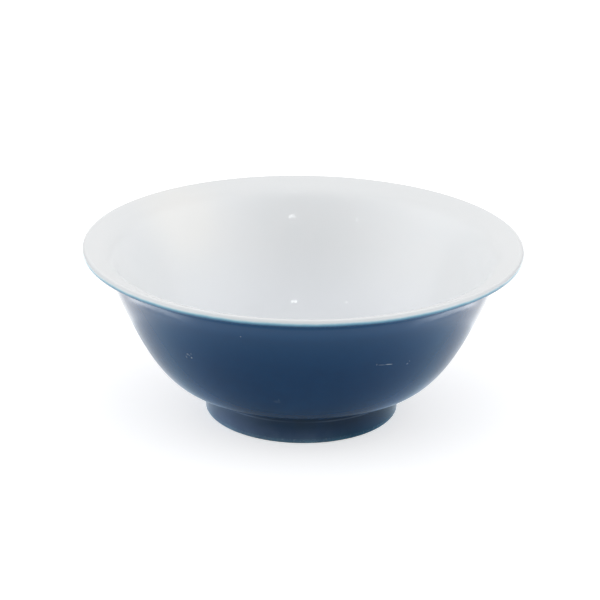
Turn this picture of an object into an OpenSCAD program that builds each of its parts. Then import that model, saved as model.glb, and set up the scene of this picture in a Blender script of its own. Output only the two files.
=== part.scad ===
/* [Bowl] */
// Diameter over the rim
bowl_w = 150; // [130:1:180]
// Height from the table to the top of the rim
bowl_h = 60.7; // [54:0.1:80]
// Lean of the wall from upright, just under the lip, in degrees
wall_lean = 20.3; // [12:0.1:28]
// Thickness of the wall under the lip, glaze included
wall_t = 3.2; // [2.6:0.1:4.5]
// Thickness of the floor at its centre, glaze included
floor_t = 5; // [3.6:0.1:7]
// Diameter at which the wall has turned under
turn_w = 82; // [76:1:96]
// Height of that turn above the table
turn_h = 12.8; // [11:0.2:18]
// Rise of the underside from level, in degrees
under_rise = 10; // [4:1:14]

/* [Lip] */
// Reach of the lip beyond the neck under it
lip_reach = 7.8; // [5:0.1:11]
// Depth of the neck below the top of the rim
lip_drop = 6.3; // [5:0.1:9]
// Thickness of the lip's round edge
lip_t = 2.5; // [2:0.1:3.5]
// Slope of the lip's underside from level, in degrees
lip_slope = 18; // [8:1:30]
// Slope of the lip's upper side from level, in degrees
crown_slope = 20; // [12:1:32]

/* [Foot] */
// Diameter of the foot at the table
foot_w = 66.8; // [54:0.2:72]
// Thickness of the foot at the table, glaze included
foot_t = 4.4; // [3.4:0.1:7]
// Lean of the foot's outer side from upright, in degrees
foot_lean = 1.8; // [0:0.1:6]
// Lean of the foot's inner side from upright, in degrees
well_lean = 5; // [0:0.5:12]
// Radius of the bare edges that stand on the table
foot_edge_r = 0.8; // [0.6:0.1:1.2]

/* [Glaze] */
// Thickness of every coat of glaze
glaze_t = 0.35; // [0.2:0.05:0.5]
// Width of the line round the lip where the blue runs thin
rim_line_w = 0.76; // [0.4:0.02:1]
// Width of the line at the foot's lower edge where the blue runs thin
foot_line_w = 1; // [0.5:0.1:2]
// Radius of the glaze pooled where the foot meets the bowl
seam_r = 0.9; // [0.5:0.1:1.8]
// Radius of the glaze pooled inside the foot
well_r = 1.6; // [0.8:0.1:2.5]

/* [Hidden] */

// Steps round the axis, and along each stretch of the cross-section
round_fn = 180;
bead_steps = 9;
line_steps = 3;
lip_steps = 14;
body_steps = 32;
flare_steps = 14;
floor_steps = 14;
arc_steps = 6;

// Handle lengths of the curves, as shares of the distance that each one spans
body_handle_shares = [0.61, 0.156];
lip_handle_shares = [0.34, 0.62];
flare_handle_shares = [0.66, 0.5];
floor_handle_shares = [0.5, 0.18];
well_handle_shares = [0.33, 0.33];

// Shares of the body curve at which the flare of the inside, and its floor, begin
flare_share = 0.12;
floor_share = 0.75;
// Level on the lip's round edge, in degrees, at which the thin blue line begins
rim_line_level = 15;
// Level on the foot's edge, in degrees, at which the glaze stops above the table
bare_level = 50;
// Share of a coat's thickness that is left where it stops above the table
stop_share = 0.25;

function unit(v) = v / norm(v);
function reversed(list) = [for (i = [len(list) - 1:-1:0]) list[i]];
function last(list) = list[len(list) - 1];
function after_first(list) = [for (i = [1:len(list) - 1]) list[i]];
function eased(t) = t * t * (3 - 2 * t);

// A skin is a list of [point, outward normal] along the cross-section. A coat gives it a thickness.
function points(skin) = [for (p = skin) p[0]];
function inset(skin, depth) =
    [for (p = skin) let (in = p[0] - depth * p[1]) [max(0, in[0]), in[1]]];
function coat(skin) = concat(points(skin), reversed(inset(skin, glaze_t)));

// Directions in the cross-section: leaning from upright, and rising from level
function leaning(angle) = [sin(angle), cos(angle)];
function level(angle) = [cos(angle), sin(angle)];

// Cubic curve from p to q. It leaves along a and arrives along b, and the shares set its handles.
function bezier_at(p, p1, q1, q, t) =
    pow(1 - t, 3) * p + 3 * t * pow(1 - t, 2) * p1 + 3 * t * t * (1 - t) * q1 + pow(t, 3) * q;
function bezier_slope(p, p1, q1, q, t) =
    pow(1 - t, 2) * (p1 - p) + 2 * t * (1 - t) * (q1 - p1) + t * t * (q - q1);
function turned(v) = [v[1], -v[0]];
function curve(p, a, q, b, shares, steps) =
    let (span = norm(q - p), p1 = p + shares[0] * span * a, q1 = q - shares[1] * span * b)
    [for (i = [0:steps]) let (t = i / steps)
        [bezier_at(p, p1, q1, q, t), -turned(unit(bezier_slope(p, p1, q1, q, t)))]];

// Arc on a centre, between two levels. bulge is 1 on an outer edge and -1 in a hollow.
function arc(centre, r, from, to, steps, bulge = 1) =
    [for (i = [0:steps]) let (d = level(from + (to - from) * i / steps)) [centre + r * d, bulge * d]];

// Point where two lines meet, each given by a point on it and its normal
function meet(p, n, q, m) =
    let (det = n[0] * m[1] - n[1] * m[0], np = n * p, mq = m * q)
    [(np * m[1] - mq * n[1]) / det, (n[0] * mq - m[0] * np) / det];

// Straight faces of the underside and of the foot: a point on each glazed face, and its normal
turn_at = [turn_w / 2, turn_h];
under_n = [sin(under_rise), -cos(under_rise)];
foot_at = [foot_w / 2, 0];
foot_n = [cos(foot_lean), -sin(foot_lean)];
well_at = [foot_w / 2 - foot_t, 0];
well_n = [-cos(well_lean), -sin(well_lean)];
table_n = [0, -1];

// Corner between the underside and a side of the foot, out from both faces by a distance
function root_out(at, n, out) = meet(turn_at + out * under_n, under_n, at + out * n, n);

// Round edge of the lip
bead_r = lip_t / 2;
bead_at = [bowl_w / 2 - bead_r, bowl_h - bead_r];
rim_line_end = rim_line_level - rim_line_w / bead_r * 180 / PI;
crown = arc(bead_at, bead_r, 90 + crown_slope, rim_line_level, bead_steps);
rim_line = arc(bead_at, bead_r, rim_line_level, rim_line_end, line_steps);
lip_edge = arc(bead_at, bead_r, rim_line_end, lip_slope - 90, bead_steps);

// Outside, from the lip's edge down to the seam at the foot
neck_at = [bowl_w / 2 - lip_reach, bowl_h - lip_drop];
lip_under = curve(last(lip_edge)[0], -level(lip_slope), neck_at, -leaning(wall_lean),
                  reversed(lip_handle_shares), lip_steps);
body = curve(neck_at, -leaning(wall_lean), turn_at, -level(under_rise), body_handle_shares, body_steps);
seam_at = root_out(foot_at, foot_n, seam_r);
seam_start = [seam_at - seam_r * under_n, under_n];
seam = arc(seam_at, seam_r, 90 + under_rise, 180 - foot_lean, arc_steps, -1);

// Inside, from the centre of the floor up to the lip's crown
flare_step = round(flare_share * body_steps);
floor_step = round(floor_share * body_steps);
inner_wall = [for (i = [floor_step:-1:flare_step])
    let (t = (i - flare_step) / (floor_step - flare_step), thick = wall_t + (floor_t - wall_t) * eased(t))
    [body[i][0] - thick * body[i][1], -body[i][1]]];
well_at_top = root_out(well_at, well_n, well_r);
ceiling_at = well_at_top - well_r * under_n;
under_centre = [0, ceiling_at[1] - ceiling_at[0] * tan(under_rise) / 2];
floor_centre = under_centre + [0, floor_t];
floor_edge = inner_wall[0];
floor_top = curve(floor_centre, [1, 0], floor_edge[0], turned(floor_edge[1]), floor_handle_shares,
                  floor_steps);
flare_at = last(inner_wall);
flare = curve(flare_at[0], turned(flare_at[1]), crown[0][0], level(crown_slope), flare_handle_shares,
              flare_steps);

// Foot, outside and inside: its bare corners at the table, and how its glaze stops above them
function clay_corner(at, n) = meet(at - glaze_t * n, n, [0, 0], table_n);
function edge_centre(at, n) =
    meet(clay_corner(at, n) - foot_edge_r * n, n, clay_corner(at, n) - foot_edge_r * table_n, table_n);
outer_edge_at = edge_centre(foot_at, foot_n);
inner_edge_at = edge_centre(well_at, well_n);
outer_edge = arc(outer_edge_at, foot_edge_r, -foot_lean, -90, arc_steps);
inner_edge = arc(inner_edge_at, foot_edge_r, -90, well_lean - 180, arc_steps);

// Outer glaze of a foot edge between two levels, thinning towards the table
function stopping(centre, from, to, steps) =
    [for (i = [0:steps]) let (t = i / steps, d = level(from + (to - from) * t))
        centre + (foot_edge_r + glaze_t * (1 - (1 - stop_share) * t)) * d];
function under_stop(centre, from, to, steps) = points(arc(centre, foot_edge_r, from, to, steps));

outer_stop = stopping(outer_edge_at, -foot_lean, -bare_level, line_steps);
outer_stop_clay = under_stop(outer_edge_at, -foot_lean, -bare_level, line_steps);
inner_stop = stopping(inner_edge_at, well_lean - 180, bare_level - 180, line_steps);
inner_stop_clay = under_stop(inner_edge_at, well_lean - 180, bare_level - 180, line_steps);
foot_line_top = outer_stop[0] + foot_line_w * leaning(foot_lean);

// Underside inside the foot, from the pooled glaze to the centre
well_fillet = arc(well_at_top, well_r, well_lean, 90 + under_rise, arc_steps, -1);
ceiling = curve(ceiling_at, -level(under_rise), under_centre, [-1, 0], well_handle_shares, floor_steps);

clay_root = root_out(foot_at, foot_n, -glaze_t);
clay_well = root_out(well_at, well_n, -glaze_t);

// Glazed face inside the bowl, and the one outside from the lip's thin line down to the turn
inside = concat(floor_top, after_first(inner_wall), after_first(flare), after_first(crown));
outside = concat(lip_edge, after_first(lip_under), after_first(body));

module turn_round(outline) {
    rotate_extrude($fn = round_fn) polygon(outline);
}

module bowl_wall() {
    color("#d8d5cd")
        turn_round(concat(inset(inside, glaze_t), after_first(inset(rim_line, glaze_t)),
                          after_first(inset(outside, glaze_t)), [clay_root, clay_well],
                          inset(ceiling, glaze_t)));
}

module foot_ring() {
    color("#cfc9bd")
        turn_round(concat([clay_root], points(outer_edge), points(inner_edge), [clay_well]));
}

module inner_glaze() {
    color("#e6eaec") turn_round(coat(inside));
}

module rim_glaze_line() {
    color("#7fb0c2") turn_round(coat(rim_line));
}

module outer_glaze() {
    color("#2c4a68") turn_round(coat(concat(outside, [seam_start])));
}

module foot_glaze() {
    color("#243a52")
        turn_round(concat(points(seam), [foot_line_top, foot_line_top - glaze_t * foot_n, clay_root],
                          inset([seam_start], glaze_t)));
}

module foot_glaze_line() {
    color("#33698a")
        turn_round(concat([foot_line_top], outer_stop, reversed(outer_stop_clay),
                          [foot_line_top - glaze_t * foot_n]));
}

module well_glaze() {
    color("#e2e6e6")
        turn_round(concat(reversed(inner_stop), points(well_fillet), after_first(points(ceiling)),
                          reversed(inset(ceiling, glaze_t)), [clay_well], inner_stop_clay));
}

bowl_wall();
foot_ring();
inner_glaze();
rim_glaze_line();
outer_glaze();
foot_glaze();
foot_glaze_line();
well_glaze();
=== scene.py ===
import math

import bmesh
import bpy
from mathutils import Matrix, Vector


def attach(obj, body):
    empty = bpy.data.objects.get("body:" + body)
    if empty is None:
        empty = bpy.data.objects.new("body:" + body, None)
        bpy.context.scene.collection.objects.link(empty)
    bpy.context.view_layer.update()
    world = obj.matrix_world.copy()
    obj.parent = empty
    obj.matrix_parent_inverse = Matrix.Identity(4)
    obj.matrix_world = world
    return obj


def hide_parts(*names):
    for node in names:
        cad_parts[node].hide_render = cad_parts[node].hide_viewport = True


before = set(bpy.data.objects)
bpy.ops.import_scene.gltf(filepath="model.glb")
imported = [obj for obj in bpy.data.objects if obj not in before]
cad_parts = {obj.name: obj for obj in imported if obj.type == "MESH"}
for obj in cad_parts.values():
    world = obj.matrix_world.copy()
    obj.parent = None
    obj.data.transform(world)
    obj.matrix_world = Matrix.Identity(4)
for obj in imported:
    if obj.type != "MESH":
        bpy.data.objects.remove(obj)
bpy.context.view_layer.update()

MM = 0.001

# ---------------------------------------------------------------- sizes of the bowl, in mm and degrees

BOWL_W = 150
BOWL_H = 60.7
WALL_LEAN = 20.3
WALL_T = 3.2
FLOOR_T = 5
TURN_W = 82
TURN_H = 12.8
UNDER_RISE = 10

LIP_REACH = 7.8
LIP_DROP = 6.3
LIP_T = 2.5
LIP_SLOPE = 18
CROWN_SLOPE = 20

FOOT_W = 66.8
FOOT_T = 4.4
FOOT_LEAN = 1.8
WELL_LEAN = 5
FOOT_EDGE_R = 0.8

GLAZE_T = 0.35
RIM_LINE_W = 0.76
FOOT_LINE_W = 1
SEAM_R = 0.9
WELL_R = 1.6
RIM_LINE_LEVEL = 15
BARE_LEVEL = 50
STOP_SHARE = 0.25

# Handle lengths of the curves, as shares of the distance that each one spans
BODY_HANDLES = (0.61, 0.156)
LIP_HANDLES = (0.34, 0.62)
FLARE_HANDLES = (0.66, 0.5)
FLOOR_HANDLES = (0.5, 0.18)
WELL_HANDLES = (0.33, 0.33)
FLARE_SHARE = 4 / 32
FLOOR_SHARE = 24 / 32

# Steps along each stretch of the cross-section, and round the axis
BEAD_STEPS = 16
LINE_STEPS = 10
LIP_STEPS = 28
BODY_STEPS = 56
INSIDE_STEPS = 46
FLARE_STEPS = 30
FLOOR_STEPS = 26
ARC_STEPS = 12
GLAZE_TURNS = 360
CLAY_TURNS = 240


# ---------------------------------------------------------------- the cross-section

def turned(v):
    return Vector((v.y, -v.x))


def leaning(angle):
    """Direction in the cross-section that leans from upright by an angle."""
    return Vector((math.sin(math.radians(angle)), math.cos(math.radians(angle))))


def level(angle):
    """Direction in the cross-section that rises from level by an angle."""
    return Vector((math.cos(math.radians(angle)), math.sin(math.radians(angle))))


def curve_at(p, a, q, b, shares, t):
    """Point and outward normal of the curve that leaves p along a and arrives at q along b."""
    span = (q - p).length
    p1, q1 = p + shares[0] * span * a, q - shares[1] * span * b
    at = (1 - t) ** 3 * p + 3 * t * (1 - t) ** 2 * p1 + 3 * t * t * (1 - t) * q1 + t ** 3 * q
    slope = (1 - t) ** 2 * (p1 - p) + 2 * t * (1 - t) * (q1 - p1) + t * t * (q - q1)
    return at, -turned(slope.normalized())


def curve(p, a, q, b, shares, steps):
    return [curve_at(p, a, q, b, shares, i / steps) for i in range(steps + 1)]


def arc(centre, r, start, end, steps, bulge=1):
    """Arc between two levels. bulge is 1 on an outer edge and -1 in a hollow."""
    ways = [level(start + (end - start) * i / steps) for i in range(steps + 1)]
    return [(centre + r * way, bulge * way) for way in ways]


def meet(p, n, q, m):
    """Point where two lines meet, each given by a point on it and its normal."""
    det = n.x * m.y - n.y * m.x
    return Vector((n.dot(p) * m.y - m.dot(q) * n.y, n.x * m.dot(q) - m.x * n.dot(p))) / det


def points(skin):
    return [at for at, normal in skin]


def inset(skin, depth):
    return [Vector((max(0, (at - depth * n).x), (at - depth * n).y)) for at, n in skin]


def coat(skin):
    """Outline of a coat of glaze: its face, and back along the clay under it."""
    return points(skin) + inset(skin, GLAZE_T)[::-1]


def joined(*skins):
    """Skins end to end, each without its first point, which is the last of the one before."""
    return list(skins[0]) + [step for skin in skins[1:] for step in skin[1:]]


turn_at = Vector((TURN_W / 2, TURN_H))
under_n = Vector((math.sin(math.radians(UNDER_RISE)), -math.cos(math.radians(UNDER_RISE))))
foot_at = Vector((FOOT_W / 2, 0))
foot_n = Vector((math.cos(math.radians(FOOT_LEAN)), -math.sin(math.radians(FOOT_LEAN))))
well_at = Vector((FOOT_W / 2 - FOOT_T, 0))
well_n = Vector((-math.cos(math.radians(WELL_LEAN)), -math.sin(math.radians(WELL_LEAN))))
table_n = Vector((0, -1))


def root_out(at, n, out):
    """Corner between the underside and a side of the foot, out from both faces by a distance."""
    return meet(turn_at + out * under_n, under_n, at + out * n, n)


# Round edge of the lip
bead_r = LIP_T / 2
bead_at = Vector((BOWL_W / 2 - bead_r, BOWL_H - bead_r))
rim_line_end = RIM_LINE_LEVEL - math.degrees(RIM_LINE_W / bead_r)
crown = arc(bead_at, bead_r, 90 + CROWN_SLOPE, RIM_LINE_LEVEL, BEAD_STEPS)
rim_line = arc(bead_at, bead_r, RIM_LINE_LEVEL, rim_line_end, LINE_STEPS)
lip_edge = arc(bead_at, bead_r, rim_line_end, LIP_SLOPE - 90, BEAD_STEPS)

# Outside, from the lip's edge down to the seam at the foot
neck_at = Vector((BOWL_W / 2 - LIP_REACH, BOWL_H - LIP_DROP))
lip_under = curve(lip_edge[-1][0], -level(LIP_SLOPE), neck_at, -leaning(WALL_LEAN),
                  LIP_HANDLES[::-1], LIP_STEPS)
body_ends = (neck_at, -leaning(WALL_LEAN), turn_at, -level(UNDER_RISE), BODY_HANDLES)
body = curve(*body_ends, BODY_STEPS)
seam_at = root_out(foot_at, foot_n, SEAM_R)
seam_start = (seam_at - SEAM_R * under_n, under_n)
seam = arc(seam_at, SEAM_R, 90 + UNDER_RISE, 180 - FOOT_LEAN, ARC_STEPS, -1)

# Inside, from the centre of the floor up to the lip's crown
inner_wall = []
for i in range(INSIDE_STEPS, -1, -1):
    down = i / INSIDE_STEPS
    at, n = curve_at(*body_ends, FLARE_SHARE + (FLOOR_SHARE - FLARE_SHARE) * down)
    thick = WALL_T + (FLOOR_T - WALL_T) * down * down * (3 - 2 * down)
    inner_wall.append((at - thick * n, -n))
well_at_top = root_out(well_at, well_n, WELL_R)
ceiling_at = well_at_top - WELL_R * under_n
under_centre = Vector((0, ceiling_at.y - ceiling_at.x * math.tan(math.radians(UNDER_RISE)) / 2))
floor_top = curve(under_centre + Vector((0, FLOOR_T)), Vector((1, 0)), inner_wall[0][0],
                  turned(inner_wall[0][1]), FLOOR_HANDLES, FLOOR_STEPS)
flare = curve(inner_wall[-1][0], turned(inner_wall[-1][1]), crown[0][0], level(CROWN_SLOPE),
              FLARE_HANDLES, FLARE_STEPS)

# Foot: its bare corners at the table, and how the glaze stops above them
clay_foot = meet(foot_at - GLAZE_T * foot_n, foot_n, Vector((0, 0)), table_n)
clay_well = meet(well_at - GLAZE_T * well_n, well_n, Vector((0, 0)), table_n)


def edge_centre(corner, n):
    return meet(corner - FOOT_EDGE_R * n, n, corner - FOOT_EDGE_R * table_n, table_n)


outer_edge_at = edge_centre(clay_foot, foot_n)
inner_edge_at = edge_centre(clay_well, well_n)
outer_edge = arc(outer_edge_at, FOOT_EDGE_R, -FOOT_LEAN, -90, ARC_STEPS)
inner_edge = arc(inner_edge_at, FOOT_EDGE_R, -90, WELL_LEAN - 180, ARC_STEPS)


def stopping(centre, start, end):
    """Face of the glaze on a foot edge, thinning towards the table."""
    out = []
    for i in range(ARC_STEPS + 1):
        t = i / ARC_STEPS
        thick = GLAZE_T * (1 - (1 - STOP_SHARE) * t)
        out.append(centre + (FOOT_EDGE_R + thick) * level(start + (end - start) * t))
    return out


outer_stop = stopping(outer_edge_at, -FOOT_LEAN, -BARE_LEVEL)
outer_stop_clay = points(arc(outer_edge_at, FOOT_EDGE_R, -FOOT_LEAN, -BARE_LEVEL, ARC_STEPS))
inner_stop = stopping(inner_edge_at, WELL_LEAN - 180, BARE_LEVEL - 180)
inner_stop_clay = points(arc(inner_edge_at, FOOT_EDGE_R, WELL_LEAN - 180, BARE_LEVEL - 180, ARC_STEPS))
foot_line_top = outer_stop[0] + FOOT_LINE_W * leaning(FOOT_LEAN)

well_fillet = arc(well_at_top, WELL_R, WELL_LEAN, 90 + UNDER_RISE, ARC_STEPS, -1)
ceiling = curve(ceiling_at, -level(UNDER_RISE), under_centre, Vector((-1, 0)), WELL_HANDLES,
                FLOOR_STEPS)

clay_root = root_out(foot_at, foot_n, -GLAZE_T)
clay_top = root_out(well_at, well_n, -GLAZE_T)

inside = joined(floor_top, inner_wall, flare, crown)
outside = joined(lip_edge, lip_under, body)

SECTIONS = {
    "bowl_wall": inset(joined(inside, rim_line, outside), GLAZE_T) + [clay_root, clay_top]
    + inset(ceiling, GLAZE_T),
    "foot_ring": [clay_root] + points(outer_edge) + points(inner_edge) + [clay_top],
    "inner_glaze": coat(inside),
    "rim_glaze_line": coat(rim_line),
    "outer_glaze": coat(outside + [seam_start]),
    "foot_glaze": points(seam) + [foot_line_top, foot_line_top - GLAZE_T * foot_n, clay_root]
    + inset([seam_start], GLAZE_T),
    "foot_glaze_line": [foot_line_top] + outer_stop + outer_stop_clay[::-1]
    + [foot_line_top - GLAZE_T * foot_n],
    "well_glaze": inner_stop[::-1] + points(well_fillet) + points(ceiling)[1:]
    + inset(ceiling, GLAZE_T)[::-1] + [clay_top] + inner_stop_clay,
}


# ---------------------------------------------------------------- node helpers

def add(tree, kind, inputs=None, **settings):
    """New node with its settings, and its inputs set or linked."""
    new = tree.nodes.new(kind)
    for name, value in settings.items():
        setattr(new, name, value)
    for key, value in (inputs or {}).items():
        if isinstance(value, bpy.types.NodeSocket):
            tree.links.new(value, new.inputs[key])
        else:
            new.inputs[key].default_value = value
    return new


NOISE_SPREAD = (0.3, 0.7)  # nearly all of a noise lies between these


def math_of(tree, operation, a, b=0.0):
    return add(tree, "ShaderNodeMath", {0: a, 1: b}, operation=operation).outputs[0]


def plus(tree, *terms):
    total = terms[0]
    for term in terms[1:]:
        total = math_of(tree, "ADD", total, term)
    return total


def times(tree, *factors):
    total = factors[0]
    for factor in factors[1:]:
        total = math_of(tree, "MULTIPLY", total, factor)
    return total


def mapped(tree, value, ends, outs=(0.0, 1.0), smooth=True):
    """Value taken from one range to another, and held beyond its ends."""
    node = add(tree, "ShaderNodeMapRange", {"Value": value, "From Min": ends[0], "From Max": ends[1],
                                            "To Min": outs[0], "To Max": outs[1]},
               interpolation_type="SMOOTHSTEP" if smooth else "LINEAR")
    return node.outputs["Result"]


def mapped_mm(tree, length, ends, outs=(0.0, 1.0)):
    """The same for a length, whose range is given in mm."""
    return mapped(tree, length, [end * MM for end in ends], outs)


def mixed(tree, factor, a, b, blend="MIX"):
    node = add(tree, "ShaderNodeMix", data_type="RGBA", blend_type=blend, clamp_factor=True)
    for key, value in ((0, factor), (6, a), (7, b)):
        if isinstance(value, bpy.types.NodeSocket):
            tree.links.new(value, node.inputs[key])
        else:
            node.inputs[key].default_value = value
    return node.outputs[2]


def ramp(tree, value, stops):
    """Colour that changes with a value, through stops of (value, colour)."""
    node = add(tree, "ShaderNodeValToRGB", {0: value})
    elements = node.color_ramp.elements
    while len(elements) > 1:
        elements.remove(elements[-1])
    elements[0].position, elements[0].color = stops[0]
    for position, color in stops[1:]:
        elements.new(position).color = color
    return node.outputs["Color"]


def part_of(tree, vector, axis):
    return add(tree, "ShaderNodeSeparateXYZ", {0: vector}).outputs[axis]


def length_of(tree, vector):
    return add(tree, "ShaderNodeVectorMath", {0: vector}, operation="LENGTH").outputs["Value"]


def away_from(tree, coords, place, half, turn=0.0, rise=0.0):
    """Distance from a place, in shares of a half size along each axis. The axes may be turned and raised."""
    local = add(tree, "ShaderNodeMapping", {
        "Vector": coords, "Location": [v * MM for v in place],
        "Rotation": (0, math.radians(-rise), math.radians(turn)), "Scale": [v * MM for v in half],
    }, vector_type="TEXTURE").outputs[0]
    return length_of(tree, local)


def noise(tree, coords, size, detail=2.0, roughness=0.5):
    """Noise whose lumps are about so many millimetres wide."""
    return add(tree, "ShaderNodeTexNoise", {"Vector": coords, "Scale": 1 / (size * MM), "Detail": detail,
                                            "Roughness": roughness}).outputs["Fac"]


def varied(tree, value, low=0.0, high=1.0):
    """Noise spread out from a low value to a high one."""
    return mapped(tree, value, NOISE_SPREAD, (low, high))


def wandering(tree, value, reach):
    """Noise as a length about zero, for a line that wanders within so many millimetres."""
    return times(tree, math_of(tree, "SUBTRACT", value, 0.5), reach * MM)


# ---------------------------------------------------------------- turning the pieces

def turning_tree():
    """Geometry nodes that turn a flat section round the upright axis into a closed piece."""
    tree = bpy.data.node_groups.new("turned_section", "GeometryNodeTree")
    sockets = (("Section", "NodeSocketGeometry"), ("Turns", "NodeSocketInt"),
               ("Wheel Radius", "NodeSocketFloat"), ("Crease Angle", "NodeSocketFloat"),
               ("Weld Distance", "NodeSocketFloat"), ("Finish", "NodeSocketMaterial"))
    for name, kind in sockets:
        tree.interface.new_socket(name, in_out="INPUT", socket_type=kind)
    tree.interface.new_socket("Piece", in_out="OUTPUT", socket_type="NodeSocketGeometry")

    given = add(tree, "NodeGroupInput").outputs
    outline = add(tree, "GeometryNodeMeshToCurve", {"Mesh": given["Section"]}).outputs["Curve"]
    wheel = add(tree, "GeometryNodeCurvePrimitiveCircle",
                {"Resolution": given["Turns"], "Radius": given["Wheel Radius"]}).outputs["Curve"]
    swept = add(tree, "GeometryNodeCurveToMesh", {"Curve": wheel, "Profile Curve": outline}).outputs["Mesh"]
    welded = add(tree, "GeometryNodeMergeByDistance",
                 {"Geometry": swept, "Distance": given["Weld Distance"]}).outputs["Geometry"]
    smooth = add(tree, "GeometryNodeSetShadeSmooth", {"Geometry": welded, "Shade Smooth": True},
                 domain="FACE").outputs["Geometry"]
    bend = add(tree, "GeometryNodeInputMeshEdgeAngle").outputs["Unsigned Angle"]
    sharp = add(tree, "FunctionNodeCompare", {0: bend, 1: given["Crease Angle"]},
                data_type="FLOAT", operation="GREATER_THAN").outputs[0]
    creased = add(tree, "GeometryNodeSetShadeSmooth",
                  {"Geometry": smooth, "Selection": sharp, "Shade Smooth": False},
                  domain="EDGE").outputs["Geometry"]
    real = add(tree, "GeometryNodeRealizeInstances", {"Geometry": creased}).outputs["Geometry"]
    finished = add(tree, "GeometryNodeSetMaterial",
                   {"Geometry": real, "Material": given["Finish"]}).outputs["Geometry"]
    add(tree, "NodeGroupOutput", {"Piece": finished})
    return tree


WHEEL_RADIUS = 50 * MM
CREASE_ANGLE = math.radians(35)
WELD_DISTANCE = 0.001 * MM
ON_AXIS = 0.001  # mm


def turned_piece(name, section, finish, turns, tree):
    """Piece turned from a section, baked to a plain mesh."""
    flat = bpy.data.meshes.new(name + "_section")
    edges = [(i, (i + 1) % len(section)) for i in range(len(section))]
    off_axis = [edge for edge in edges if max(section[edge[0]].x, section[edge[1]].x) > ON_AXIS]
    flat.from_pydata([(p.x * MM - WHEEL_RADIUS, -p.y * MM, 0) for p in section], off_axis, [])
    blank = bpy.data.objects.new(name + "_blank", flat)
    bpy.context.scene.collection.objects.link(blank)
    lathe = blank.modifiers.new("lathe", "NODES")
    lathe.node_group = tree
    values = {"Turns": turns, "Wheel Radius": WHEEL_RADIUS, "Crease Angle": CREASE_ANGLE,
              "Weld Distance": WELD_DISTANCE, "Finish": finish}
    for socket in tree.interface.items_tree:
        if socket.in_out == "INPUT" and socket.name in values:
            lathe[socket.identifier] = values[socket.name]
    graph = bpy.context.evaluated_depsgraph_get()
    mesh = bpy.data.meshes.new_from_object(blank.evaluated_get(graph))
    blank.modifiers.remove(lathe)
    bpy.data.objects.remove(blank)
    mesh.name = name
    shell = bmesh.new()
    shell.from_mesh(mesh)
    bmesh.ops.recalc_face_normals(shell, faces=shell.faces)
    shell.to_mesh(mesh)
    shell.free()
    piece = bpy.data.objects.new(name, mesh)
    bpy.context.scene.collection.objects.link(piece)
    return piece


# ---------------------------------------------------------------- finishes

def new_finish(name):
    """Material with no nodes but the piece's own coordinates."""
    material = bpy.data.materials.new(name)
    material.use_nodes = True
    tree = material.node_tree
    tree.nodes.clear()
    coords = add(tree, "ShaderNodeTexCoord").outputs["Object"]
    return material, tree, coords


# Index of refraction of the blue glaze, and of the other finishes
BLUE_IOR = 1.4
WHITE_IOR = 1.5


def finish_with(tree, color, roughness, bump, bump_depth, ior=WHITE_IOR):
    """Surface of a finish. The bump's depth is in mm."""
    normal = add(tree, "ShaderNodeBump",
                 {"Height": bump, "Strength": 1.0, "Distance": bump_depth * MM}).outputs[0]
    shader = add(tree, "ShaderNodeBsdfPrincipled",
                 {"Base Color": color, "Roughness": roughness, "IOR": ior, "Normal": normal})
    add(tree, "ShaderNodeOutputMaterial", {"Surface": shader.outputs[0]})


# Noise of each finish: size of its lumps in mm, detail, roughness of the noise
BLUE_BROAD = (34, 2.0, 0.5)
BLUE_CLOUD = (7, 3.0, 0.55)
BLUE_GRAIN = (0.7, 2.0, 0.6)
FOOT_CLOUD = (4, 3.0, 0.55)
FOOT_GRAIN = (0.6, 2.0, 0.6)
FOOT_LINE_GRAIN = (0.5, 2.0, 0.6)
SEAM_CLOUD = (9, 2.0, 0.5)
RIM_LINE_GRAIN = (0.7, 2.0, 0.6)
WHITE_BROAD = (40, 2.0, 0.5)
WHITE_CLOUD = (12, 3.0, 0.55)
WHITE_GRAIN = (0.9, 2.0, 0.6)
CLAY_CLOUD = (5, 3.0, 0.6)
CLAY_GRAIN = (0.22, 3.0, 0.7)

# Roughness of each finish, least and most
BLUE_ROUGHNESS = (0.13, 0.18)
FOOT_ROUGHNESS = (0.16, 0.24)
FOOT_LINE_ROUGHNESS = (0.2, 0.3)
RIM_LINE_ROUGHNESS = (0.09, 0.14)
WHITE_ROUGHNESS = (0.013, 0.019)
CLAY_ROUGHNESS = (0.75, 0.95)

# Waves of each glaze's surface: their size in mm, the share of the grain that is added, and their depth in mm
BLUE_PEEL = (2.6, 0.25, 0.010)
FOOT_PEEL = (2.2, 0.3, 0.012)
WHITE_PEEL = (4.5, 0.06, 0.0003)
# Depth in mm of the grain where a finish has no waves
FOOT_LINE_DEPTH = 0.012
RIM_LINE_DEPTH = 0.004
CLAY_DEPTH = 0.05

# Blue glaze: its shades, how much of each, and the heights in mm over which the next one takes over
BLUE = (0.0010, 0.036, 0.111, 1)
BLUE_DEEP = (0.0008, 0.032, 0.100, 1)
BLUE_LIGHT = (0.0016, 0.042, 0.123, 1)
BLUE_UPPER = (0.0030, 0.050, 0.140, 1)
# Painted reflection: the blue is lighter under the lip, standing in for the bright floor that the neck
# mirrors
BLUE_UNDER_LIP_GLEAM = (0.0036, 0.062, 0.172, 1)
BLUE_CLOUD_SHARE = (0.25, 0.75)
BLUE_BROAD_SHARE = (0.15, 0.55)
BLUE_GRAIN_FROM = (0.35, 0.75)
BLUE_GRAIN_SHARE = (0.0, 0.16)
UPPER_FROM = (34, 54)
UNDER_LIP_FROM = (49, 53.5)
LIP_FROM = (57.4, 58.3)
# The neck under the lip is less scuffed: where that starts and ends, and the share of the roughness there
NECK_START = (50.6, 52.4)
NECK_END = (57, 55.5)
NECK_SHARE = 0.35

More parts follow.
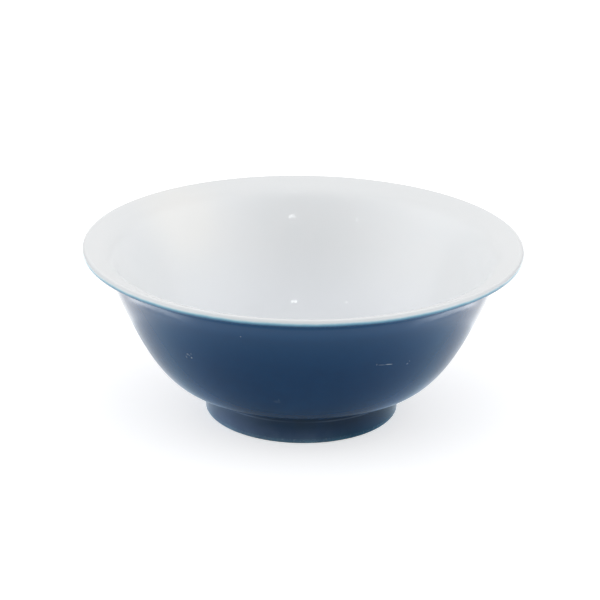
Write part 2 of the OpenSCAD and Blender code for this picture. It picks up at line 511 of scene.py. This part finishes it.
# Colour of the glaze over the lip's edge, by height in mm
LIP_STOPS = (
    (58.2, BLUE_UNDER_LIP_GLEAM),
    (58.6, (0.010, 0.072, 0.175, 1)),
    (58.95, (0.045, 0.150, 0.275, 1)),
    (59.3, (0.110, 0.300, 0.430, 1)),
    (59.6, (0.290, 0.510, 0.610, 1)),
    (59.9, (0.580, 0.668, 0.704, 1)),
    (60.15, (0.660, 0.684, 0.704, 1)),
)
LIP_LOW, LIP_HIGH = 58, 61
LIP_WANDER, LIP_WANDER_REACH = (9, 3.0, 0.6), 0.5
LIP_STREAK, LIP_STREAK_REACH = (1.3, 2.0, 0.6), 0.1
# The lip's outer edge, as distances from its tip in mm
CROWN_TO_EDGE = (0.95, 0.3)

# Colour of the glaze down the foot, by height in mm
FOOT_STOPS = (
    (0.3, (0.13, 0.27, 0.37, 1)),
    (1.0, (0.085, 0.165, 0.245, 1)),
    (1.9, (0.056, 0.102, 0.172, 1)),
    (3.1, (0.040, 0.076, 0.146, 1)),
    (4.5, (0.026, 0.055, 0.114, 1)),
    (6.3, (0.011, 0.037, 0.082, 1)),
    (8.5, (0.008, 0.029, 0.064, 1)),
)
FOOT_HIGH = 12
FOOT_WANDER, FOOT_WANDER_REACH = (7, 2.0, 0.5), 1.6
FOOT_CLOUD_SHARE = (0.0, 0.22)
# Painted light on the foot's glaze to the left and painted shade to the right: the colour of each, and where
# it comes in, in mm
FOOT_PAINTED_LIGHT = (0.050, 0.063, 0.092, 1)
FOOT_PAINTED_LIGHT_FROM = (-5, -28)
FOOT_PAINTED_SHADE = (0.18, 0.49, 0.58, 1)
FOOT_PAINTED_SHADE_FROM = (2, 19)
# Painted highlight where the seam meets the foot: its height and half width in mm, and how it fades near the
# middle
SEAM_HIGHLIGHT = (0.060, 0.082, 0.118, 1)
SEAM_HIGHLIGHT_AT = 8.1
SEAM_HIGHLIGHT_W = 0.42
SEAM_HIGHLIGHT_BESIDE = (1, 16)
SEAM_HIGHLIGHT_SHARE = (0.12, 1.0)
SEAM_CLOUD_FROM = (0.35, 0.62)
SEAM_CLOUD_SHARE = (0.6, 1.0)
# Paler grains in the thin line at the foot's lower edge
FOOT_LINE_PALE = (0.16, 0.26, 0.33, 1)
FOOT_LINE_PALE_FROM = (0.55, 0.75)
FOOT_LINE_PALE_SHARE = (0.0, 0.25)

# White glaze: its shades, and the heights in mm over which it turns paler and bluer towards the bottom
WHITE = (0.80, 0.812, 0.822, 1)
# Warm colour of the painted reflection of a softbox
WHITE_WARM_REFLECTION = (0.845, 0.842, 0.826, 1)
WHITE_COOL = (0.785, 0.806, 0.818, 1)
WHITE_LOWER = (0.835, 0.858, 0.888, 1)
WHITE_COOL_SHARE = (0.0, 0.5)
WHITE_LOWER_FROM = (42, 16)
# Painted warm reflection of a softbox on the white glaze: how far its middle reaches as a share of its size,
# and how much of it there is
WARM_REFLECTION_FROM = (1.0, 0.2)
WARM_REFLECTION_SHARE = (0.5, 1.0)
# Specks: size in mm of the cells that they lie in, their edge as shares of that, which cells have one, and
# their colour and strength
SPECK_CELL = 11
SPECK_EDGE = (0.022, 0.012)
SPECK_CHANCE = 0.9
SPECK = (0.42, 0.40, 0.36, 1)
SPECK_STRENGTH = 0.35
# The white glaze is rougher where it's seen along the surface: how far along, and what is added there
ALONG_BLEND = 0.5
ALONG_FROM = (0.14, 0.5)
ALONG_ROUGHNESS = (0.0, 0.22)

# Bare clay: its shades, and the grit in it
CLAY = (0.74, 0.70, 0.62, 1)
CLAY_PALE = (0.80, 0.77, 0.71, 1)
CLAY_GRIT = (0.42, 0.34, 0.26, 1)
CLAY_GRIT_FROM = (0.62, 0.78)
CLAY_GRIT_SHARE = (0.0, 0.3)

# Small pale marks on the blue: their colour, how they fade at the edge, and for each one its place and half
# sizes in mm, its turn about the upright axis and rise in degrees, and its strength
PALE_MARK = (0.38, 0.46, 0.54, 1)
MARK_FADE = (1.0, 0.35)
MARKS = (
    ((27.80, -53.80, 37.97), (1.80, 0.8, 0.25), (31, -9), 0.62),
    ((25.50, -55.05, 38.25), (2.00, 0.8, 0.20), (29, -9), 0.24),
    ((23.83, -56.06, 38.73), (0.30, 0.9, 0.55), (24, 0), 0.18),
    ((33.91, -49.32, 36.40), (0.50, 0.8, 0.45), (33, 5), 0.26),
    ((34.59, -49.40, 37.38), (0.28, 0.7, 0.26), (34, 0), 0.25),
    ((-35.55, -48.62, 37.24), (0.36, 0.8, 0.32), (-37, 0), 1.0),
    ((-36.85, -48.20, 38.25), (0.66, 0.9, 0.52), (-37, 20), 0.32),
    ((-37.30, -47.10, 36.90), (0.45, 0.9, 0.70), (-38, 0), 0.22),
    ((-35.60, -49.20, 38.90), (0.34, 0.8, 0.42), (-36, 0), 0.25),
    ((-36.20, -48.50, 37.95), (0.38, 0.8, 0.36), (-37, 0), 0.22),
    ((-19.35, -62.85, 50.50), (0.26, 0.7, 0.22), (-17, 0), 0.6),
    ((-7.90, -52.75, 23.90), (1.70, 1.3, 0.90), (-8, 0), 0.035),
    ((-7.30, -53.20, 24.70), (0.34, 1.0, 1.10), (-8, 0), 0.05),
)


def marks_on(tree, coords):
    """Strength of the small pale marks at each place."""
    total = 0.0
    for place, half, (turn, rise), strength in MARKS:
        away = away_from(tree, coords, place, half, turn, rise)
        total = math_of(tree, "MAXIMUM", total, mapped(tree, away, MARK_FADE, (0.0, strength)))
    return total


def peel_of(tree, coords, grain, size, grain_share):
    """Waves of a glaze's surface, with a share of its grain."""
    return plus(tree, noise(tree, coords, size, detail=1.0), times(tree, grain, grain_share))


def lip_color(tree, coords):
    """Colour over the lip's edge: the white turns grey towards the outer edge, and the blue runs thin over it
    below.
    """
    height = plus(tree, part_of(tree, coords, "Z"),
                  wandering(tree, noise(tree, coords, *LIP_WANDER), LIP_WANDER_REACH),
                  wandering(tree, noise(tree, coords, *LIP_STREAK), LIP_STREAK_REACH))
    return ramp(tree, mapped(tree, height, (LIP_LOW * MM, LIP_HIGH * MM), smooth=False),
                [((z - LIP_LOW) / (LIP_HIGH - LIP_LOW), shade) for z, shade in LIP_STOPS])


def blue_glaze():
    material, tree, coords = new_finish("deep_blue_glaze")
    z = part_of(tree, coords, "Z")
    grain = noise(tree, coords, *BLUE_GRAIN)
    marks = marks_on(tree, coords)
    cloud = varied(tree, noise(tree, coords, *BLUE_CLOUD), *BLUE_CLOUD_SHARE)
    broad = varied(tree, noise(tree, coords, *BLUE_BROAD), *BLUE_BROAD_SHARE)
    color = mixed(tree, broad, mixed(tree, cloud, BLUE_DEEP, BLUE_LIGHT), BLUE)
    color = mixed(tree, mapped(tree, grain, BLUE_GRAIN_FROM, BLUE_GRAIN_SHARE), color, BLUE_LIGHT)
    color = mixed(tree, mapped_mm(tree, z, UPPER_FROM), color, BLUE_UPPER)
    # Painted reflection under the lip
    color = mixed(tree, mapped_mm(tree, z, UNDER_LIP_FROM), color, BLUE_UNDER_LIP_GLEAM)
    color = mixed(tree, mapped_mm(tree, z, LIP_FROM), color, lip_color(tree, coords))
    color = mixed(tree, marks, color, PALE_MARK)
    neck = times(tree, mapped_mm(tree, z, NECK_START), mapped_mm(tree, z, NECK_END))
    scuffed = times(tree, varied(tree, grain, *BLUE_ROUGHNESS),
                    mapped(tree, neck, (0, 1), (1.0, NECK_SHARE), smooth=False))
    size, grain_share, depth = BLUE_PEEL
    finish_with(tree, color, plus(tree, scuffed, marks), peel_of(tree, coords, grain, size, grain_share),
                depth, BLUE_IOR)
    return material


def foot_color(tree, coords):
    """Colour down the foot, a little cloudy, with the line between its shades wandering, painted light to its
    left, painted shade to its right and a painted highlight along the seam.
    """
    height = part_of(tree, coords, "Z")
    across = part_of(tree, coords, "X")
    wander = wandering(tree, noise(tree, coords, *FOOT_WANDER), FOOT_WANDER_REACH)
    color = ramp(tree, mapped(tree, plus(tree, height, wander), (0, FOOT_HIGH * MM), smooth=False),
                 [(z / FOOT_HIGH, shade) for z, shade in FOOT_STOPS])
    color = mixed(tree, varied(tree, noise(tree, coords, *FOOT_CLOUD), *FOOT_CLOUD_SHARE), color, BLUE_DEEP)
    # Painted light to the left of the foot, and painted shade to its right
    color = mixed(tree, mapped_mm(tree, across, FOOT_PAINTED_LIGHT_FROM), color, FOOT_PAINTED_LIGHT, "ADD")
    color = mixed(tree, mapped_mm(tree, across, FOOT_PAINTED_SHADE_FROM), color, FOOT_PAINTED_SHADE, "MULTIPLY")
    # Painted highlight along the seam, fading towards the middle
    off_line = math_of(tree, "ABSOLUTE", math_of(tree, "SUBTRACT", height, SEAM_HIGHLIGHT_AT * MM))
    beside = mapped_mm(tree, math_of(tree, "ABSOLUTE", across), SEAM_HIGHLIGHT_BESIDE, SEAM_HIGHLIGHT_SHARE)
    cloud = mapped(tree, noise(tree, coords, *SEAM_CLOUD), SEAM_CLOUD_FROM, SEAM_CLOUD_SHARE)
    line = times(tree, mapped_mm(tree, off_line, (SEAM_HIGHLIGHT_W, 0)), beside, cloud)
    return mixed(tree, line, color, SEAM_HIGHLIGHT, "ADD")


def foot_blue_glaze():
    material, tree, coords = new_finish("dark_foot_glaze")
    grain = noise(tree, coords, *FOOT_GRAIN)
    size, grain_share, depth = FOOT_PEEL
    finish_with(tree, foot_color(tree, coords), varied(tree, grain, *FOOT_ROUGHNESS),
                peel_of(tree, coords, grain, size, grain_share), depth)
    return material


def thin_foot_glaze():
    material, tree, coords = new_finish("thin_foot_line_glaze")
    grain = noise(tree, coords, *FOOT_LINE_GRAIN)
    color = mixed(tree, mapped(tree, grain, FOOT_LINE_PALE_FROM, FOOT_LINE_PALE_SHARE),
                  foot_color(tree, coords), FOOT_LINE_PALE)
    finish_with(tree, color, varied(tree, grain, *FOOT_LINE_ROUGHNESS), grain, FOOT_LINE_DEPTH)
    return material


def thin_rim_glaze():
    material, tree, coords = new_finish("thin_rim_line_glaze")
    grain = noise(tree, coords, *RIM_LINE_GRAIN)
    finish_with(tree, lip_color(tree, coords), varied(tree, grain, *RIM_LINE_ROUGHNESS), grain,
                RIM_LINE_DEPTH)
    return material


def beyond_crown(tree, coords):
    """1 on the lip's outer edge, and 0 on all that lies inside its crown."""
    flat = add(tree, "ShaderNodeVectorMath", {0: coords, 1: (1, 1, 0)}, operation="MULTIPLY").outputs[0]
    return mapped_mm(tree, length_of(tree, flat), [BOWL_W / 2 - inside for inside in CROWN_TO_EDGE])


def white_glaze(name, reflection_place, reflection_size):
    material, tree, coords = new_finish(name)
    grain = noise(tree, coords, *WHITE_GRAIN)
    cloud = varied(tree, noise(tree, coords, *WHITE_CLOUD), *WHITE_COOL_SHARE)
    lower_down = mapped_mm(tree, part_of(tree, coords, "Z"), WHITE_LOWER_FROM)
    color = mixed(tree, lower_down, mixed(tree, cloud, WHITE, WHITE_COOL), WHITE_LOWER)
    # Painted warm reflection of a softbox
    warm_reflection = times(tree, mapped(tree, away_from(tree, coords, reflection_place, [reflection_size] * 3), WARM_REFLECTION_FROM),
                   varied(tree, noise(tree, coords, *WHITE_BROAD), *WARM_REFLECTION_SHARE))
    color = mixed(tree, warm_reflection, color, WHITE_WARM_REFLECTION)
    cells = add(tree, "ShaderNodeTexVoronoi", {"Vector": coords, "Scale": 1 / (SPECK_CELL * MM)},
                feature="F1")
    chance = add(tree, "ShaderNodeSeparateColor", {0: cells.outputs["Color"]}).outputs[0]
    speck = times(tree, mapped(tree, cells.outputs["Distance"], SPECK_EDGE),
                  math_of(tree, "GREATER_THAN", chance, SPECK_CHANCE), SPECK_STRENGTH)
    color = mixed(tree, speck, color, SPECK)
    color = mixed(tree, beyond_crown(tree, coords), color, lip_color(tree, coords))
    along = add(tree, "ShaderNodeLayerWeight", {"Blend": ALONG_BLEND}).outputs["Facing"]
    roughness = plus(tree, varied(tree, grain, *WHITE_ROUGHNESS),
                     mapped(tree, along, ALONG_FROM, ALONG_ROUGHNESS))
    size, grain_share, depth = WHITE_PEEL
    finish_with(tree, color, roughness, peel_of(tree, coords, grain, size, grain_share), depth)
    return material


def bare_porcelain():
    material, tree, coords = new_finish("bare_porcelain")
    grain = noise(tree, coords, *CLAY_GRAIN)
    color = mixed(tree, varied(tree, noise(tree, coords, *CLAY_CLOUD)), CLAY, CLAY_PALE)
    color = mixed(tree, mapped(tree, grain, CLAY_GRIT_FROM, CLAY_GRIT_SHARE), color, CLAY_GRIT)
    finish_with(tree, color, varied(tree, grain, *CLAY_ROUGHNESS), grain, CLAY_DEPTH)
    return material


# Each white glaze has a painted warm reflection of a softbox: its place and size in mm
inside_white = white_glaze("white_glaze_inside", (-43.6, 46.4, 53.6), 26)
well_white = white_glaze("white_glaze_under_foot", (8, 4, 8), 22)
porcelain = bare_porcelain()

PIECES = (
    ("bowl_clay", "bowl_wall", "porcelain", porcelain, CLAY_TURNS),
    ("foot_clay", "foot_ring", "porcelain", porcelain, GLAZE_TURNS),
    ("inner_coat", "inner_glaze", "white_glaze", inside_white, GLAZE_TURNS),
    ("rim_line_coat", "rim_glaze_line", "thin_rim_glaze", thin_rim_glaze(), GLAZE_TURNS),
    ("outer_coat", "outer_glaze", "blue_glaze", blue_glaze(), GLAZE_TURNS),
    ("foot_coat", "foot_glaze", "foot_blue_glaze", foot_blue_glaze(), GLAZE_TURNS),
    ("foot_line_coat", "foot_glaze_line", "thin_foot_glaze", thin_foot_glaze(), GLAZE_TURNS),
    ("well_coat", "well_glaze", "white_glaze", well_white, GLAZE_TURNS),
)

lathe_tree = turning_tree()
for name, node, slot, finish, turns in PIECES:
    piece = turned_piece(name, SECTIONS[node], finish, turns, lathe_tree)
    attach(piece, "root")
    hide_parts(node)


# ---------------------------------------------------------------- floor and world

FLOOR_HALF = 4.0
FLOOR_GREY = 0.83
FLOOR_GLOW = 0.497
WHITE_LIGHT = (1, 1, 1, 1)
# Brightness of the floor in the glaze, with the bowl's shadow painted in as darkness close to it: distance
# from the bowl's axis in mm, and brightness there
GLEAM_STOPS = (
    (24, 0.08), (39, 0.17), (48, 0.26), (56, 0.32), (64, 0.37), (72, 0.415), (79, 0.485), (84, 0.56),
    (89, 0.71), (92, 0.84), (94, 1.06), (96, 1.2), (110, 1.2),
)
GLEAM_REACH = 200
# Painted light added to it towards the sides and the back, where the white studio stands close
GLEAM_TURN_START = 0.95
GLEAM_TURN_GAIN = 0.35
GLEAM_NEAR = (66, 44)
GLEAM_NEAR_GAIN = 1.7
# Painted light at each side of the bowl, which the neck mirrors as a pale line under the lip: its inner
# and outer edges as distances in mm, which are SIDE_SKEW less straight in front, and its ends as shares
# of the way to the front
SIDE_SKEW = 13
SIDE_INNER_EDGE = (101.8, 105.0)
SIDE_OUTER_EDGE = (110, 107)
SIDE_BACK_END = (-0.42, -0.06)
SIDE_FRONT_END = (0.68, 0.32)
SIDE_GAIN = 2.4
# Painted tint of the floor in the glaze, standing in for more light on the blue at the sides: share of the
# way to the front, and colour there
GLEAM_TINTS = (
    (-0.4, (1.0, 1.06, 1.12, 1)),
    (0.0, (1.0, 1.13, 1.26, 1)),
    (0.25, (1.0, 1.28, 1.52, 1)),
    (0.55, (1.0, 1.22, 1.45, 1)),
    (0.8, (1.0, 1.08, 1.08, 1)),
    (0.95, (1.0, 1.0, 0.85, 1)),
)
# The painted tint is bluer close to the front of the bowl, and white far from it: tint, distances in mm,
# share of the way
GLEAM_NEAR_TINT = (1.04, 1.15, 1.32, 1)
NEAR_TINT_FROM = (66, 48)
NEAR_TINT_FRONT = (0.3, 0.65)
TINT_GONE = (80, 112)


def labelled(tree, name, strength):
    """Strength of one light, in a node that bears its name."""
    value = add(tree, "ShaderNodeValue", label=name).outputs[0]
    value.default_value = strength
    return value


def floor_in_glaze(tree):
    """Colour and brightness of the floor where the glaze mirrors it, with the bowl's shadow and brighter
    places painted in.
    """
    place = add(tree, "ShaderNodeTexCoord").outputs["Object"]
    away = length_of(tree, place)
    frontward = math_of(tree, "DIVIDE", times(tree, part_of(tree, place, "Y"), -1.0), away)
    # The bowl's shadow, painted into the floor that the glaze mirrors
    round_bowl = ramp(tree, mapped(tree, away, (0, GLEAM_REACH * MM), smooth=False),
                      [(at / GLEAM_REACH, (bright, bright, bright, 1)) for at, bright in GLEAM_STOPS])
    turned_away = math_of(tree, "MAXIMUM", math_of(tree, "SUBTRACT", GLEAM_TURN_START, frontward), 0.0)
    beside = times(tree, turned_away, GLEAM_TURN_GAIN,
                   mapped_mm(tree, away, GLEAM_NEAR, (1.0, GLEAM_NEAR_GAIN)))
    skewed = plus(tree, away, times(tree, frontward, SIDE_SKEW * MM))
    side = SIDE_GAIN
    for edge in (SIDE_INNER_EDGE, SIDE_OUTER_EDGE):
        side = times(tree, mapped_mm(tree, skewed, edge), side)
    for end in (SIDE_BACK_END, SIDE_FRONT_END):
        side = times(tree, mapped(tree, frontward, end), side)
    gleam = plus(tree, round_bowl, beside, side)
    tint = ramp(tree, mapped(tree, frontward, (-1, 1), smooth=False),
                [((share + 1) / 2, color) for share, color in GLEAM_TINTS])
    near_front = times(tree, mapped_mm(tree, away, NEAR_TINT_FROM), mapped(tree, frontward, NEAR_TINT_FRONT))
    tint = mixed(tree, near_front, tint, GLEAM_NEAR_TINT, "MULTIPLY")
    return mixed(tree, mapped_mm(tree, away, TINT_GONE), tint, WHITE_LIGHT), gleam


def studio_floor():
    mesh = bpy.data.meshes.new("studio_floor")
    mesh.from_pydata([(x * FLOOR_HALF, y * FLOOR_HALF, 0) for x, y in ((-1, -1), (1, -1), (1, 1), (-1, 1))],
                     [], [(0, 1, 2, 3)])
    floor = bpy.data.objects.new("studio_floor", mesh)
    bpy.context.scene.collection.objects.link(floor)
    material = bpy.data.materials.new("studio_floor_paper")
    material.use_nodes = True
    tree = material.node_tree
    tree.nodes.clear()
    path = add(tree, "ShaderNodeLightPath").outputs
    paper = add(tree, "ShaderNodeBsdfDiffuse", {"Color": (FLOOR_GREY, FLOOR_GREY, FLOOR_GREY, 1)})
    glow_strength = times(tree, path["Is Camera Ray"], labelled(tree, "glow", FLOOR_GLOW))
    glow = add(tree, "ShaderNodeEmission", {"Color": WHITE_LIGHT, "Strength": glow_strength})
    seen = add(tree, "ShaderNodeAddShader", {0: paper.outputs[0], 1: glow.outputs[0]})
    tint, gleam = floor_in_glaze(tree)
    mirrored = add(tree, "ShaderNodeEmission", {"Color": tint, "Strength": gleam})
    both = add(tree, "ShaderNodeMixShader",
               {0: path["Is Glossy Ray"], 1: seen.outputs[0], 2: mirrored.outputs[0]})
    add(tree, "ShaderNodeOutputMaterial", {"Surface": both.outputs[0]})
    mesh.materials.append(material)


studio_floor()

# Light of the studio: name of each soft light, its turn from the front and its elevation in degrees, how
# narrow it is, and its strength
SKY_LIGHTS = (
    ("right", 90, 20, 4, 1.52),
    ("left", -90, 20, 4, 1.77),
    ("top", 0, 90, 4, 0.65),
    ("back", 180, 20, 4, 0.95),
    ("front high", 0, 55, 6, 0.18),
    ("front low", 0, 7, 20, 0.28),
    ("right front", 50, 20, 6, 1.06),
    ("left front", -50, 20, 6, 0.80),
    ("right low", 90, 2, 16, 0.25),
    ("left low", -90, 2, 16, 0.15),
)


def way_of(turn, rise):
    """Direction of a turn from the front, to the right, and an elevation, in degrees."""
    turn, rise = math.radians(turn), math.radians(rise)
    return Vector((math.sin(turn) * math.cos(rise), -math.cos(turn) * math.cos(rise), math.sin(rise)))


def white_world():
    """White behind all that the camera sees, and the soft lights for everything else."""
    world = bpy.data.worlds.new("white_studio")
    bpy.context.scene.world = world
    world.use_nodes = True
    tree = world.node_tree
    tree.nodes.clear()
    ray = add(tree, "ShaderNodeTexCoord").outputs["Generated"]
    total = 0.0
    for name, turn, rise, narrow, strength in SKY_LIGHTS:
        toward = add(tree, "ShaderNodeVectorMath", {0: ray, 1: way_of(turn, rise)},
                     operation="DOT_PRODUCT").outputs["Value"]
        lobe = math_of(tree, "POWER", math_of(tree, "MAXIMUM", toward, 0.0), narrow)
        total = plus(tree, total, times(tree, lobe, labelled(tree, name, strength)))
    light = add(tree, "ShaderNodeBackground", {"Color": WHITE_LIGHT, "Strength": total})
    shown = add(tree, "ShaderNodeBackground", {"Color": WHITE_LIGHT, "Strength": 1.0})
    camera_ray = add(tree, "ShaderNodeLightPath").outputs["Is Camera Ray"]
    both = add(tree, "ShaderNodeMixShader", {0: camera_ray, 1: light.outputs[0], 2: shown.outputs[0]})
    add(tree, "ShaderNodeOutputWorld", {"Surface": both.outputs[0]})


white_world()


# ---------------------------------------------------------------- lamps

# Small lamps that show in the white glaze: place that each one faces in mm, the way from there to the lamp
# (its turn from the front and its elevation), tilt in degrees, width and height in mm, watts
LAMPS = (
    ("front_lamp", (-4.25, 61.61, 49.1), (7.78, 24.78), -1.4, (66, 1.0), 0.0015),
    ("front_side_lamp", (19.76, 58.43, 48.89), (-36.22, 23.02), 6.5, (24, 0.9), 0.00036),
    ("top_lamp", (-3.02, 45.06, 21.19), (13.85, 70.01), -9, (58, 50), 0.050),
    ("top_side_lamp", (16.08, 42.93, 21.87), (-59.52, 60.89), 42, (30, 32), 0.016),
)
LAMP_AWAY = 1.0  # metres

for name, place, (turn, rise), tilt, (width, height), watts in LAMPS:
    way = way_of(turn, rise)
    light = bpy.data.lights.new(name, "AREA")
    light.shape = "RECTANGLE"
    light.size, light.size_y = width * MM, height * MM
    light.energy = watts
    lamp = bpy.data.objects.new(name, light)
    bpy.context.scene.collection.objects.link(lamp)
    at = Vector(place) * MM + way * LAMP_AWAY
    facing = way.to_track_quat("Z", "Y").to_matrix().to_4x4() @ Matrix.Rotation(math.radians(tilt), 4, "Z")
    lamp.matrix_world = Matrix.Translation(at) @ facing


# ---------------------------------------------------------------- camera

# The camera as fitted to the photograph: it looks along +Y and down, and the picture is turned a little
CAMERA_DOWN = 20.92
CAMERA_ROLL = 0.718
CAMERA_AT = (-0.888, -652.0, 288.27)
FOCAL_PIXELS = 2027.8
PICTURE_PIXELS = 600
SENSOR_W = 36
NEAREST, FURTHEST = 0.01, 20

camera_data = bpy.data.cameras.new("camera")
camera_data.sensor_width = SENSOR_W
camera_data.lens = SENSOR_W * FOCAL_PIXELS / PICTURE_PIXELS
camera_data.clip_start, camera_data.clip_end = NEAREST, FURTHEST
camera = bpy.data.objects.new("camera", camera_data)
bpy.context.scene.collection.objects.link(camera)
camera.matrix_world = (
    Matrix.Translation(Vector(CAMERA_AT) * MM)
    @ Matrix.Rotation(math.radians(90 - CAMERA_DOWN), 4, "X")
    @ Matrix.Rotation(math.radians(CAMERA_ROLL), 4, "Z")
)
bpy.context.scene.camera = camera
bpy.context.scene.view_settings.view_transform = "Standard"
